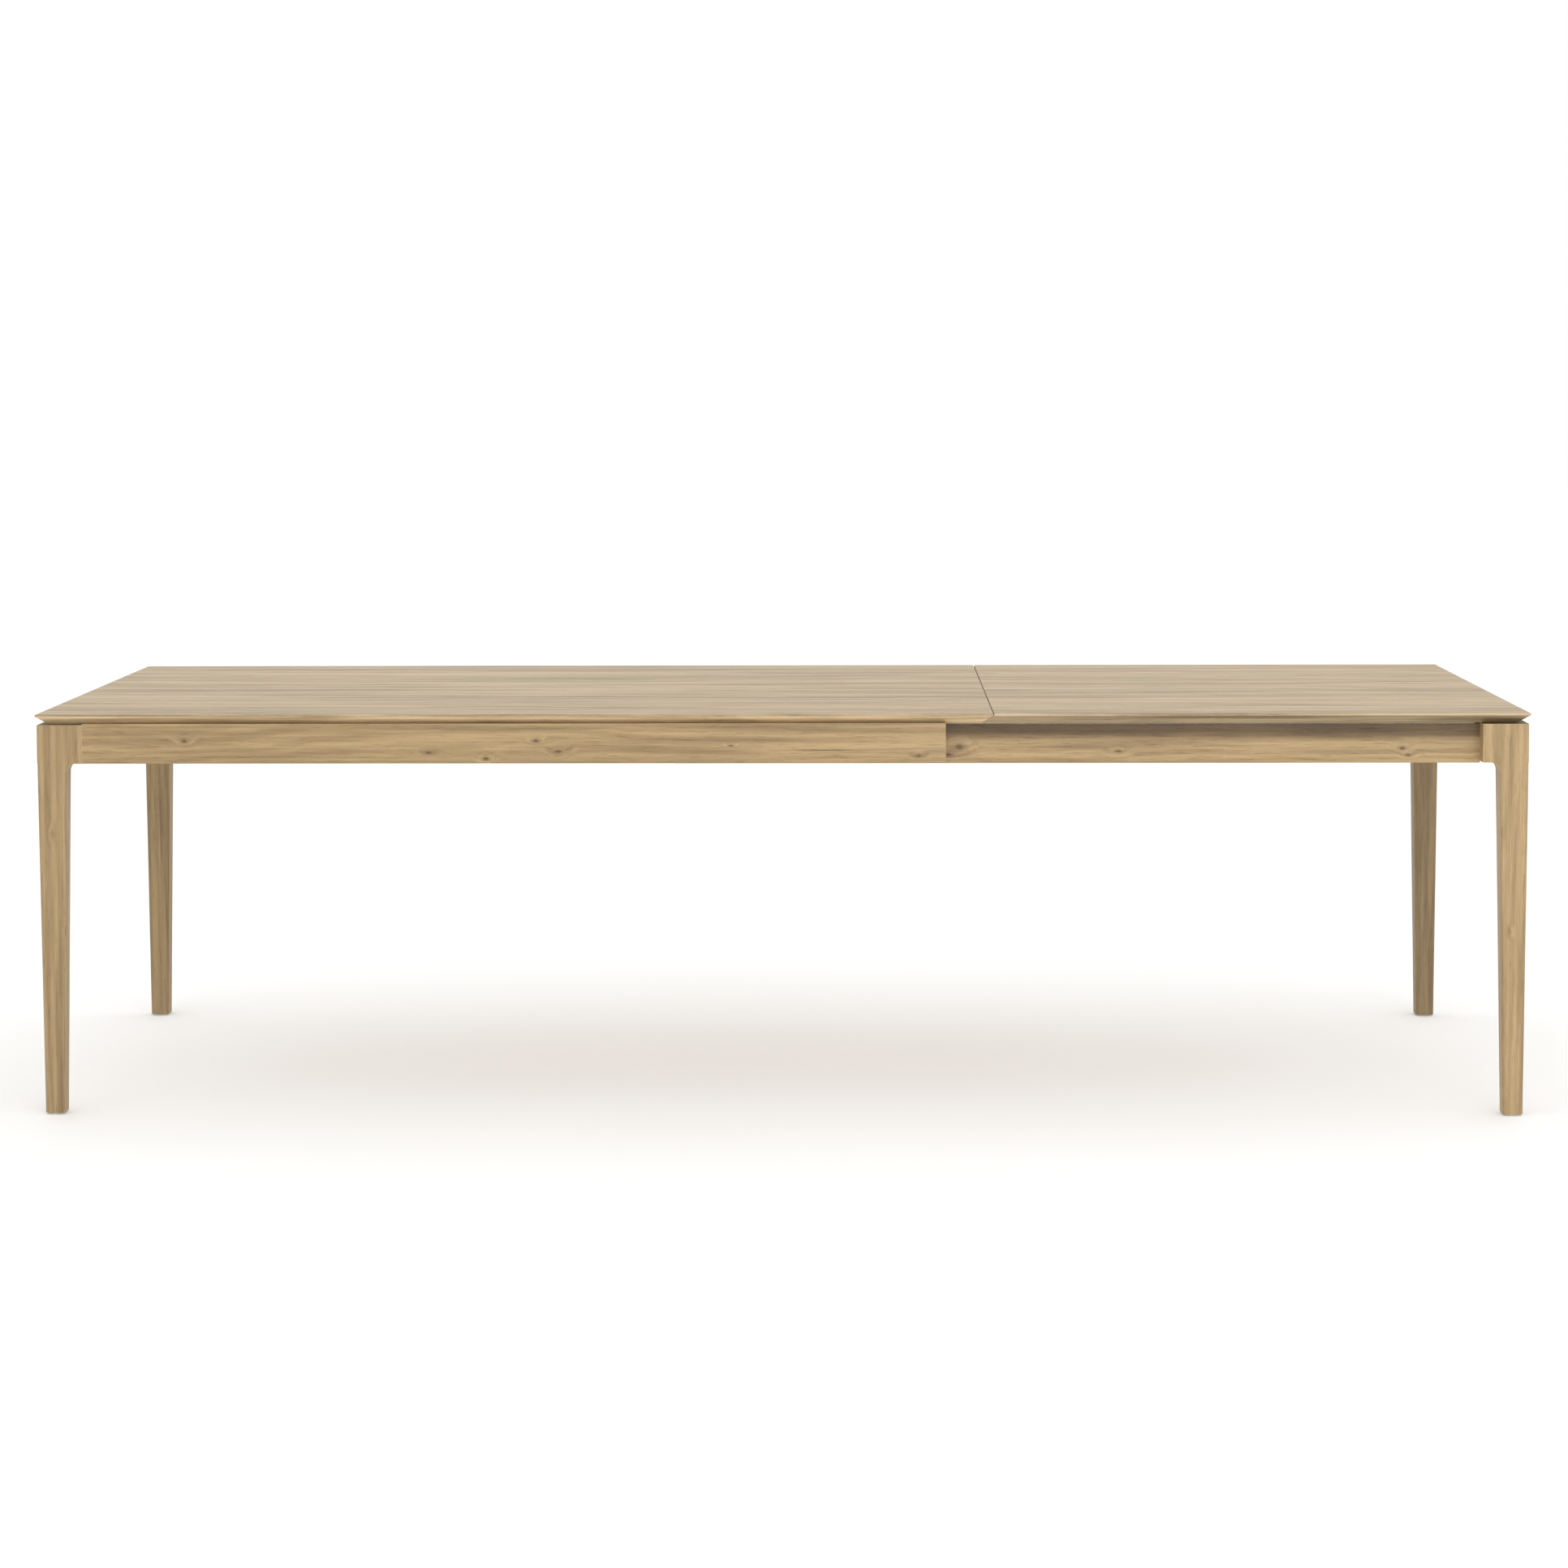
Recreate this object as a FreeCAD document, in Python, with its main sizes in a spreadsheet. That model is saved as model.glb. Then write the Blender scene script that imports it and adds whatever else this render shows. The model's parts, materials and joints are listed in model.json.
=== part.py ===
import FreeCAD, Part
import os
import Sketcher

# Extendable dining table in solid oak, shown with its end leaf fitted.
#
# Frame: millimetres, +Z up. The origin is on the floor under the middle of the extended table,
# +X runs towards the leaf, which is the end that pulls out, and -Y is the front.
#
# Three groups of pieces move against each other:
#   main frame     main top, left legs, outer aprons, slide channels
#   sliding frame  right legs, inner aprons, cross rails, shoes; it slides along X
#   leaf           one panel that draws off along X on two steel bearers
# Two cam levers on upright shoulder screws hold the bearers.

doc = FreeCAD.newDocument("extendable_table")
sheet = doc.addObject("Spreadsheet::Sheet", "Dimensions")
pieces = []


class Size:
    """A length: its formula over the sheet's cells, and the value it has now."""

    def __init__(self, formula, value):
        self.formula = formula
        self.value = value

    def __add__(self, other):
        other = as_size(other)
        return Size(f"({self.formula} + {other.formula})", self.value + other.value)

    def __sub__(self, other):
        other = as_size(other)
        return Size(f"({self.formula} - {other.formula})", self.value - other.value)

    def __mul__(self, other):
        other = as_size(other)
        return Size(f"({self.formula} * {other.formula})", self.value * other.value)

    def __truediv__(self, other):
        other = as_size(other)
        return Size(f"({self.formula} / {other.formula})", self.value / other.value)

    def __neg__(self):
        return self * -1

    __rmul__ = __mul__


def as_size(number):
    """The number itself if it is a Size, or a Size with that constant value."""
    return number if isinstance(number, Size) else Size(f"({number})", float(number))


def dimension(alias, value, note):
    """A driving dimension: one row of the sheet, with its note, value and alias."""
    dimension.row += 1
    sheet.set(f"A{dimension.row}", note)
    sheet.set(f"B{dimension.row}", str(value))
    sheet.setAlias(f"B{dimension.row}", alias)
    return Size(f"Dimensions.{alias}", float(value))


dimension.row = 0

# ---------------------------------------------------------------- driving dimensions

table_length = dimension("table_length", 2800, "over the tips of the top, leaf fitted")
table_width = dimension("table_width", 1000, "over the tips of the top")
table_height = dimension("table_height", 760, "floor to the top surface")
leaf_length = dimension("leaf_length", 1000, "length that the leaf adds, and the slide's travel")
top_thick = dimension("top_thick", 20, "thickness of the main top and the leaf")
tip_thick = dimension("tip_thick", 4, "upright edge left above the undercut bevel")
bevel_run = dimension("bevel_run", 22, "width of the undercut bevel")
top_ease = dimension("top_ease", 1.5, "chamfer on the upper edges of the panels")
seam_gap = dimension("seam_gap", 1.6, "gap between the main top and the leaf")

leg_inset = dimension("leg_inset", 3, "tip of the top to the outer faces of the legs")
leg_head = dimension("leg_head", 85, "width of the square leg head")
leg_shank = dimension("leg_shank", 53, "width of the leg just under its head")
leg_foot = dimension("leg_foot", 38, "width of the leg at the floor")
leg_flat = dimension("leg_flat", 45, "inner sides of the leg, up to its chamfered inner corner")
foot_inset = dimension("foot_inset", 4, "taper of the leg's outer faces")
flare_radius = dimension("flare_radius", 18, "concave flare between head and shank")
leg_arris = dimension("leg_arris", 3.5, "rounded arris at the top of the shank")
foot_arris = dimension("foot_arris", 11, "rounded outer arris at the foot")
foot_side_arris = dimension("foot_side_arris", 6, "rounded side arrises at the foot")

apron_height = dimension("apron_height", 73, "height of the aprons and leg heads")
apron_thick = dimension("apron_thick", 28, "thickness of the outer and end aprons")
inner_thick = dimension("inner_thick", 26, "thickness of the inner aprons")
apron_rise = dimension("apron_rise", 2, "outer apron above the underside, tucked under the bevel")
apron_gap = dimension("apron_gap", 3, "gap between outer and inner apron")
apron_ease = dimension("apron_ease", 2, "chamfer on the aprons' lower edges")
inner_drop = dimension("inner_drop", 4, "inner aprons' lower edge below the outer aprons'")
apron_overlap = dimension("apron_overlap", 511, "length the aprons share when extended")
closing_gap = dimension("closing_gap", 1, "outer apron to leg head when closed")
frame_drop = dimension("frame_drop", 0.5, "sliding legs and end apron below the top's underside")
tenon_long = dimension("tenon_long", 24, "length of the apron tenons")
tenon_thick = dimension("tenon_thick", 10, "thickness of the apron tenons")
tenon_shoulder = dimension("tenon_shoulder", 13, "shoulder above and below a tenon")

block_thick = dimension("block_thick", 22, "corner block, along the bolt")
block_rise = dimension("block_rise", 2, "corner block above the aprons' lower edge")
fixed_block_height = dimension("fixed_block_height", 60, "height of the main frame's corner blocks")
sliding_block_height = dimension("sliding_block_height", 36, "height of the sliding frame's blocks")
bolt_radius = dimension("bolt_radius", 4, "hanger bolt in the leg")
bolt_bury = dimension("bolt_bury", 55, "length of the hanger bolt inside the leg")
bolt_tail = dimension("bolt_tail", 12, "length of the hanger bolt past the block")
washer_radius = dimension("washer_radius", 11, "outer radius of the washers")
washer_thick = dimension("washer_thick", 1.6, "thickness of the washers")
nut_radius = dimension("nut_radius", 7.5, "corner radius of the hexagon nuts")
nut_thick = dimension("nut_thick", 6.5, "thickness of the hexagon nuts")
fit_slack = dimension("fit_slack", 0.05, "radial slack of pins, dowels and screws in their holes")
overcut = dimension("overcut", 1, "holes and recesses run past their part by this much")

channel_depth = dimension("channel_depth", 24, "slide channel, across the table")
channel_height = dimension("channel_height", 28, "height of the slide channel")
channel_wall = dimension("channel_wall", 2.5, "wall of the slide channel")
channel_gap = dimension("channel_gap", 8, "slide channel to inner apron")
channel_end_gap = dimension("channel_end_gap", 2, "slide channel to leg head when closed")
channel_screw_edge = dimension("channel_screw_edge", 50, "first channel screw from the channel's end")
stop_recess = dimension("stop_recess", 2, "end stops behind the channel's open side")
stop_long = dimension("stop_long", 8, "length of the end stops in the channel")
shoe_long = dimension("shoe_long", 100, "length of a slide shoe")
shoe_pitch = dimension("shoe_pitch", 340, "distance between the shoes of one side")
shoe_slack = dimension("shoe_slack", 0.3, "play of a shoe above and below")
shoe_side_slack = dimension("shoe_side_slack", 1, "play of a shoe at the channel's web")
shoe_floor = dimension("shoe_floor", 12, "shoe screw heads from the inner apron")
well_slack = dimension("well_slack", 0.5, "play of the shoe screw heads in their wells")
shoe_inset = dimension("shoe_inset", 10, "first shoe from the inner apron's end")
strip_wide = dimension("strip_wide", 18, "width of the glide strips")
strip_thick = dimension("strip_thick", 3, "thickness of the glide strips")
strip_slack = dimension("strip_slack", 0.2, "glide strip to the top's underside")
rail_wide = dimension("rail_wide", 60, "width of the cross rails")
rail_thick = dimension("rail_thick", 34, "height of the cross rails")
rail_inset = dimension("rail_inset", 5, "first cross rail from the inner aprons' ends")
rail_dowel_bury = dimension("rail_dowel_bury", 26.4, "length of the rail dowels inside the rail")

bar_wide = dimension("bar_wide", 40, "width of the stiffener bars")
bar_long = dimension("bar_long", 800, "length of the stiffener bars")
flat_thick = dimension("flat_thick", 8, "thickness of the stiffener bars and bearers")
flush_depth = dimension("flush_depth", 0.5, "depth of recessed steel below the wood face")
groove_slack = dimension("groove_slack", 0.5, "play round recessed steel")
bearer_wide = dimension("bearer_wide", 30, "width of the leaf's bearers")
bearer_offset = dimension("bearer_offset", 250, "bearers from the middle of the table")
bearer_reach = dimension("bearer_reach", 250, "length of the bearers under the main top")
bearer_fixed = dimension("bearer_fixed", 400, "length of the bearers in the leaf")
bearer_nose = dimension("bearer_nose", 8, "tapered nose of the bearers")
groove_run = dimension("groove_run", 10, "groove in the main top past the bearer's nose")
keeper_far = dimension("keeper_far", 212.5, "start of the far keeper from the seam")
keeper_near = dimension("keeper_near", 70, "start of the near keeper from the seam")
keeper_screw_edge = dimension("keeper_screw_edge", 8, "keeper screws from the plate's ends")
keeper_wide = dimension("keeper_wide", 64, "length of a keeper plate across its groove")
keeper_long = dimension("keeper_long", 30, "width of a keeper plate along its groove")
keeper_thick = dimension("keeper_thick", 3, "thickness of a keeper plate")
dowel_radius = dimension("dowel_radius", 4, "leaf and rail dowels")
dowel_play = dimension("dowel_play", 0.3, "radial play of the leaf dowels in the main top")
dowel_long = dimension("dowel_long", 44, "length of the dowels")
dowel_depth = dimension("dowel_depth", 12, "leaf dowels below the top surface")
dowel_end_play = dimension("dowel_end_play", 2, "room past the end of a leaf dowel")
apron_dowel_radius = dimension("apron_dowel_radius", 3, "dowels between aprons and top")
apron_dowel_down = dimension("apron_dowel_down", 16, "length of those dowels in the apron")
apron_dowel_up = dimension("apron_dowel_up", 12.8, "length of those dowels in the top")
apron_dowel_first = dimension("apron_dowel_first", 100, "first apron dowel from the left leg")
apron_dowel_last = dimension("apron_dowel_last", 60, "last apron dowel from the outer apron's end")

cam_radius = dimension("cam_radius", 12, "round cam of a leaf lock")
cam_throw = dimension("cam_throw", 2, "distance of the cam's centre from its pivot")
cam_clearance = dimension("cam_clearance", 0.3, "locked cam to its bearer")
cam_height = dimension("cam_height", 11, "height of the cam")
lever_long = dimension("lever_long", 70, "pivot to the end of a lock lever")
lever_wide = dimension("lever_wide", 16, "width of a lock lever")
lever_thick = dimension("lever_thick", 6, "thickness of a lock lever")
lever_drop = dimension("lever_drop", 2, "lock lever below the top's underside")
hub_radius = dimension("hub_radius", 12, "round end of a lock lever at its pivot")
pocket_slack = dimension("pocket_slack", 1, "play round the cam in its pocket")
pivot_play = dimension("pivot_play", 0.3, "play of a lever along its pivot screw")
thread_long = dimension("thread_long", 6, "length of the pivot screw's thread")
slot_wide = dimension("slot_wide", 1.2, "width of the pivot screw's slot")
slot_deep = dimension("slot_deep", 1, "depth of the pivot screw's slot")
pivot_radius = dimension("pivot_radius", 4, "shoulder of the pivot screw")
pivot_thread = dimension("pivot_thread", 3, "radius of the pivot screw's thread")
pivot_head = dimension("pivot_head", 7, "radius of the pivot screw's head")
pivot_head_thick = dimension("pivot_head_thick", 3, "thickness of the pivot screw's head")
lock_setback = dimension("lock_setback", 100, "lock pivots from the seam")

glide_rise = dimension("glide_rise", 3, "thickness of the leg glides")
glide_radius = dimension("glide_radius", 13, "radius of the leg glides")
glide_inset = dimension("glide_inset", 18, "glide's middle from the foot's outer faces")
glide_stem = dimension("glide_stem", 20, "length of a glide's stem")
glide_stem_radius = dimension("glide_stem_radius", 3, "radius of a glide's stem")

screw_radius = dimension("screw_radius", 2, "shank of the wood screws")
screw_head = dimension("screw_head", 4, "countersunk head of the wood screws")
screw_sink = dimension("screw_sink", 2.2, "depth of the countersunk head")
short_screw = dimension("short_screw", 16, "length of the screws in top and leaf")
long_screw = dimension("long_screw", 32, "length of the screws in the shoes")
doc.recompute()

# ---------------------------------------------------------------- derived levels and faces

half_length = table_length / 2
half_width = table_width / 2
seam = half_length - leaf_length
underside = table_height - top_thick
apron_foot = underside - apron_height
leg_outer_x = half_length - leg_inset
leg_inner_x = leg_outer_x - leg_head
leg_outer_y = half_width - leg_inset
leg_inner_y = leg_outer_y - leg_head
outer_back = leg_outer_y - apron_thick
inner_face = outer_back - apron_gap
inner_back = inner_face - inner_thick
outer_end = leg_inner_x - leaf_length - closing_gap
inner_start = outer_end - apron_overlap
sliding_top = underside - frame_drop
strip_top = underside - strip_slack
inner_top = strip_top - strip_thick
channel_outer = inner_back - channel_gap
channel_inner = channel_outer - channel_depth
channel_foot = underside - channel_height
channel_end = leg_inner_x - leaf_length - channel_end_gap
channel_start = inner_start - leaf_length
block_foot = apron_foot + block_rise
flat_low = underside + flush_depth
flat_high = flat_low + flat_thick
groove_high = flat_high + groove_slack
lock_x = seam - lock_setback
lock_y = bearer_offset + bearer_wide / 2 + cam_clearance + cam_radius + cam_throw
dowel_level = table_height - dowel_depth
bevel_foot = half_width - bevel_run

UP = FreeCAD.Rotation()
ALONG_X = FreeCAD.Rotation(FreeCAD.Vector(0, 1, 0), 90)
TOWARDS_FRONT = FreeCAD.Rotation(FreeCAD.Vector(1, 0, 0), 90)
DIAGONAL = 0.5 ** 0.5
SIDES = (("front", -1), ("back", 1))
TOLERANCE = 0.01

# Places as fractions of the piece that they are on.
TOP_BARS = (0.2, 0.5, 0.8)
LEAF_BARS = (0.55, 0.85)
BAR_SCREWS = (-0.75, -0.25, 0.25, 0.75)
BEARER_SCREWS = (0.25, 0.6, 0.92)
LEAF_DOWEL_ROWS = (-0.8, -0.3, 0.3, 0.8)
END_DOWEL_ROWS = (-0.7, 0, 0.7)
SHOE_SCREWS = (0.2, 0.8)
RAIL_DOWELS = (0.25, 0.75)
FIXED_BOLTS = (0.3, 0.7)
SLIDING_BOLTS = (0.5,)

# The cross recess of a screw, as fractions of its radius and of its head's depth.
RECESS_HALF_SLOT = 0.22
RECESS_HALF_CROSS = 1.1
RECESS_DEPTH = 0.7

# How many dowels and screws there are along one side.
APRON_DOWELS = 6
CHANNEL_SCREWS = 6


# ---------------------------------------------------------------- helpers

def bind(item, prop, size):
    """Bind a property to a size's formula."""
    item.setExpression(prop, as_size(size).formula)


def place(item, x, y, z, rotation=UP):
    """Turn an object and bind its base point."""
    item.Placement = FreeCAD.Placement(FreeCAD.Vector(), rotation)
    for axis, size in zip("xyz", (x, y, z)):
        bind(item, f"Placement.Base.{axis}", size)
    return item


def keep(item, node):
    """Give a finished sub-part the name of its node."""
    item.Label = node
    pieces.append(item)
    return item


def span(sign, low, high):
    """The stretch from low to high on the side of the table that sign names, low end first."""
    return (as_size(low), as_size(high)) if sign > 0 else (-as_size(high), -as_size(low))


def block(name, x, y, z):
    """A box with a low and a high size on each axis."""
    box = doc.addObject("Part::Box", name)
    for prop, (low, high) in (("Length", x), ("Width", y), ("Height", z)):
        bind(box, prop, high - low)
    return place(box, x[0], y[0], z[0])


def rod(name, radius, length, x, y, z, rotation=UP):
    """A cylinder that starts at a point and runs along the turned Z axis."""
    cylinder = doc.addObject("Part::Cylinder", name)
    bind(cylinder, "Radius", radius)
    bind(cylinder, "Height", length)
    return place(cylinder, x, y, z, rotation)


def fuse(name, parts):
    """One solid from touching solids."""
    joined = doc.addObject("Part::MultiFuse", name)
    joined.Shapes = parts
    joined.Refine = True
    return joined


def group(name, parts):
    """Separate solids kept in one object."""
    bundle = doc.addObject("Part::Compound", name)
    bundle.Links = parts
    return bundle


def carve(name, base, tools):
    """The base with every tool cut out of it."""
    cut = doc.addObject("Part::Cut", name)
    cut.Base = base
    cut.Tool = tools[0] if len(tools) == 1 else fuse(f"{name}_tools", tools)
    return cut


def copies(name, template, places, rotation=UP):
    """Linked copies of a template solid, one at each point."""
    links = []
    for number, (x, y, z) in enumerate(places):
        link = doc.addObject("App::Link", f"{name}_{number}")
        link.LinkedObject = template
        links.append(place(link, x, y, z, rotation))
    return group(name, links)


def sketch_on(body, name, role, level=0):
    """An empty sketch parallel to one of its body's origin planes."""
    sketch = body.newObject("Sketcher::SketchObject", name)
    plane = next(item for item in body.Origin.OriginFeatures if item.Role == role)
    sketch.AttachmentSupport = [(plane, "")]
    sketch.MapMode = "FlatFace"
    bind(sketch, "AttachmentOffset.Base.z", level)
    return sketch


def flat(point):
    """A sketch point at its present value."""
    return FreeCAD.Vector(point[0].value, point[1].value, 0)


def add_arc(sketch, start, end, centre, radius):
    """Add the short arc between two points; gives the numbers of its first and last point."""
    hub = flat(centre)
    circle = Part.Circle(hub, FreeCAD.Vector(0, 0, 1), radius.value)
    turn = (flat(start) - hub).cross(flat(end) - hub).z
    first, last = (start, end) if turn > 0 else (end, start)
    angles = [circle.parameter(flat(point)) for point in (first, last)]
    edge = sketch.addGeometry(Part.ArcOfCircle(circle, *angles))
    number = sketch.addConstraint(Sketcher.Constraint("Radius", edge, radius.value))
    bind(sketch, f"Constraints[{number}]", radius)
    return (1, 2) if turn > 0 else (2, 1)


def outline(sketch, corners, arcs=None):
    """A closed outline through the corners; arcs maps a corner's number to (centre, radius)."""
    arcs = arcs or {}
    corners = [(as_size(x), as_size(y)) for x, y in corners]
    count = len(corners)
    ends = []
    for index, corner in enumerate(corners):
        following = corners[(index + 1) % count]
        if index in arcs:
            centre, radius = arcs[index]
            ends.append(add_arc(sketch, corner, following, (as_size(centre[0]), as_size(centre[1])), radius))
        else:
            sketch.addGeometry(Part.LineSegment(flat(corner), flat(following)))
            ends.append((1, 2))
    for index, corner in enumerate(corners):
        following = (index + 1) % count
        sketch.addConstraint(
            Sketcher.Constraint("Coincident", index, ends[index][1], following, ends[following][0]))
        for kind, size in zip(("DistanceX", "DistanceY"), corner):
            number = sketch.addConstraint(Sketcher.Constraint(kind, index, ends[index][0], size.value))
            bind(sketch, f"Constraints[{number}]", size)
    return sketch


def rectangle(sketch, x, y):
    """A rectangle between a low and a high size on each sketch axis."""
    return outline(sketch, [(x[0], y[0]), (x[1], y[0]), (x[1], y[1]), (x[0], y[1])])


def pad(body, name, sketch, length):
    """Extrude a sketch along its normal."""
    feature = body.newObject("PartDesign::Pad", name)
    feature.Profile = sketch
    bind(feature, "Length", length)
    return feature


def loft(body, name, first, last):
    """A solid between two sketches."""
    feature = body.newObject("PartDesign::AdditiveLoft", name)
    feature.Profile = first
    feature.Sections = [last]
    feature.Ruled = True
    return feature


def edges_where(feature, test):
    """The names of a feature's edges that pass a test."""
    doc.recompute()
    return [f"Edge{number}" for number, edge in enumerate(feature.Shape.Edges, 1) if test(edge)]


def soften(body, kind, name, feature, size, test):
    """A PartDesign Fillet or Chamfer on the feature's edges that pass the test."""
    softened = body.newObject(f"PartDesign::{kind}", name)
    softened.Base = (feature, edges_where(feature, test))
    bind(softened, "Radius" if kind == "Fillet" else "Size", size)
    body.Tip = softened
    return softened


def near(number, size):
    """Whether a coordinate lies at a size."""
    return abs(number - size.value) < TOLERANCE


def lies_at(edge, axis, size):
    """Whether the whole edge lies at one coordinate on an axis."""
    return all(near(getattr(vertex.Point, axis), size) for vertex in edge.Vertexes)


# ---------------------------------------------------------------- fastener templates

def screw_profile(body, name, slack, length):
    """Turn a countersunk screw about its own axis, head at the origin and tip below it."""
    sketch = sketch_on(body, f"{name}_profile", "XZ_Plane")
    shank = screw_radius + slack
    outline(sketch, [
        (0, 0), (screw_head + slack, 0), (shank, -screw_sink), (shank, screw_radius - length),
        (0, -length)])
    turned = body.newObject("PartDesign::Revolution", f"{name}_turned")
    turned.Profile = sketch
    turned.ReferenceAxis = (sketch, ["V_Axis"])
    turned.Angle = 360
    return turned


def screw_template(name, length):
    """A screw with a cross recess in its head."""
    body = doc.addObject("PartDesign::Body", name)
    screw_profile(body, name, as_size(0), length)
    recess = sketch_on(body, f"{name}_recess", "XY_Plane")
    half_slot = screw_radius * RECESS_HALF_SLOT
    half_cross = screw_radius * RECESS_HALF_CROSS
    corners = [(half_slot, half_slot), (half_slot, half_cross), (-half_slot, half_cross)]
    cross = []
    for _ in range(4):
        cross += corners
        corners = [(-y, x) for x, y in corners]
    outline(recess, cross)
    pocket = body.newObject("PartDesign::Pocket", f"{name}_pocket")
    pocket.Profile = recess
    bind(pocket, "Length", screw_sink * RECESS_DEPTH)
    return body


def hole_template(name, length):
    """The room that a screw takes up, with its slack."""
    body = doc.addObject("PartDesign::Body", name)
    screw_profile(body, name, fit_slack, length)
    return body


short_template = screw_template("short_screw_template", short_screw)
short_hole = hole_template("short_screw_hole", short_screw + fit_slack)
long_template = screw_template("long_screw_template", long_screw)
long_hole = hole_template("long_screw_hole", long_screw + fit_slack)
HEAD_DOWN = FreeCAD.Rotation(FreeCAD.Vector(1, 0, 0), 180)


def screws(node, template, hole, places, rotation=HEAD_DOWN):
    """A group of screws as a sub-part; gives the group of holes that they need."""
    keep(copies(f"{node}_group", template, places, rotation), node)
    return copies(f"{node}_holes", hole, places, rotation)


# ---------------------------------------------------------------- top and leaf

def panel(name, low_face, high_edge):
    """A panel with an undercut bevel. Both arguments are the panel's low and high X, on its
    underside and along its tip; the bevel leans the way the two differ."""
    body = doc.addObject("PartDesign::Body", name)
    below = sketch_on(body, f"{name}_underside", "XY_Plane", underside)
    rectangle(below, low_face, (-bevel_foot, bevel_foot))
    tip = sketch_on(body, f"{name}_tip", "XY_Plane", table_height - tip_thick)
    rectangle(tip, high_edge, (-half_width, half_width))
    loft(body, f"{name}_bevel", below, tip)
    face = pad(body, f"{name}_face", tip, tip_thick)
    soften(body, "Chamfer", f"{name}_ease", face, top_ease, lambda edge: lies_at(edge, "z", table_height))
    return body


def stiffeners(node, start, end, fractions):
    """Flat steel bars let into a panel's underside; gives their recesses and screw holes."""
    half = bar_long / 2
    bars = []
    recesses = []
    places = []
    for number, fraction in enumerate(fractions):
        middle = start + (end - start) * fraction
        low = middle - bar_wide / 2
        high = middle + bar_wide / 2
        bars.append(block(f"{node}_bar_{number}", (low, high), (-half, half), (flat_low, flat_high)))
        recesses.append(block(
            f"{node}_recess_{number}", (low - groove_slack, high + groove_slack),
            (-half - groove_slack, half + groove_slack), (underside - overcut, flat_high)))
        places += [(middle, half * part, flat_low) for part in BAR_SCREWS]
    holes = screws(f"{node}_screws", short_template, short_hole, places)
    keep(carve(f"{node}_drilled", group(f"{node}_bars", bars), [holes]), node)
    return recesses + [holes]


def bearer_grooves(name, x):
    """Grooves for both bearers along a stretch of X."""
    half = bearer_wide / 2 + groove_slack
    return [
        block(f"{name}_{side}", x, span(sign, bearer_offset - half, bearer_offset + half),
              (underside - overcut, groove_high))
        for side, sign in SIDES]


def make_bearers():
    """Steel flats fixed in the leaf that reach under the main top; gives their screw holes."""
    start = seam - bearer_reach
    end = seam + bearer_fixed
    half = bearer_wide / 2
    screw_rows = [seam + bearer_fixed * fraction for fraction in BEARER_SCREWS]
    places = [(x, bearer_offset * sign, flat_low) for _, sign in SIDES for x in screw_rows]
    holes = screws("bearer_screws", short_template, short_hole, places)
    for side, sign in SIDES:
        body = doc.addObject("PartDesign::Body", f"bearer_{side}_blank")
        sketch = sketch_on(body, f"bearer_{side}_outline", "XY_Plane", flat_low)
        low, high = span(sign, bearer_offset - half, bearer_offset + half)
        outline(sketch, [
            (start, low + bearer_nose), (start + bearer_nose, low), (end, low), (end, high),
            (start + bearer_nose, high), (start, high - bearer_nose)])
        pad(body, f"bearer_{side}_flat", sketch, flat_thick)
        keep(carve(f"bearer_{side}_drilled", body, [holes]), f"leaf_bearer_{side}")
    return holes


def make_keepers():
    """Steel plates screwed across the main top's bearer grooves; gives their screw holes."""
    plates = []
    places = []
    half = keeper_wide / 2
    for side, sign in SIDES:
        for number, start in enumerate((seam - keeper_far, seam - keeper_near)):
            plates.append(block(
                f"keeper_{side}_{number}", (start, start + keeper_long),
                span(sign, bearer_offset - half, bearer_offset + half),
                (underside - keeper_thick, underside)))
            places += [
                (start + keeper_long / 2, bearer_offset * sign + (half - keeper_screw_edge) * end,
                 underside - keeper_thick)
                for end in (-1, 1)]
    holes = screws("keeper_screws", short_template, short_hole, places)
    keep(carve("keepers_drilled", group("keepers_plain", plates), [holes]), "bearer_keepers")
    return holes


def make_leaf_dowels():
    """Dowels glued in the leaf that line it up with the main top; gives both sets of holes."""
    start = seam - dowel_long / 2
    rows = [half_width * fraction for fraction in LEAF_DOWEL_ROWS]
    dowels = [
        rod(f"leaf_dowel_{number}", dowel_radius, dowel_long, start, row, dowel_level, ALONG_X)
        for number, row in enumerate(rows)]
    keep(group("leaf_dowel_group", dowels), "leaf_dowels")
    snug = [
        rod(f"leaf_dowel_snug_{number}", dowel_radius + fit_slack, dowel_long, start, row, dowel_level,
            ALONG_X)
        for number, row in enumerate(rows)]
    loose = [
        rod(f"leaf_dowel_loose_{number}", dowel_radius + dowel_play, dowel_long, start - dowel_end_play,
            row, dowel_level, ALONG_X)
        for number, row in enumerate(rows)]
    return snug, loose


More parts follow.
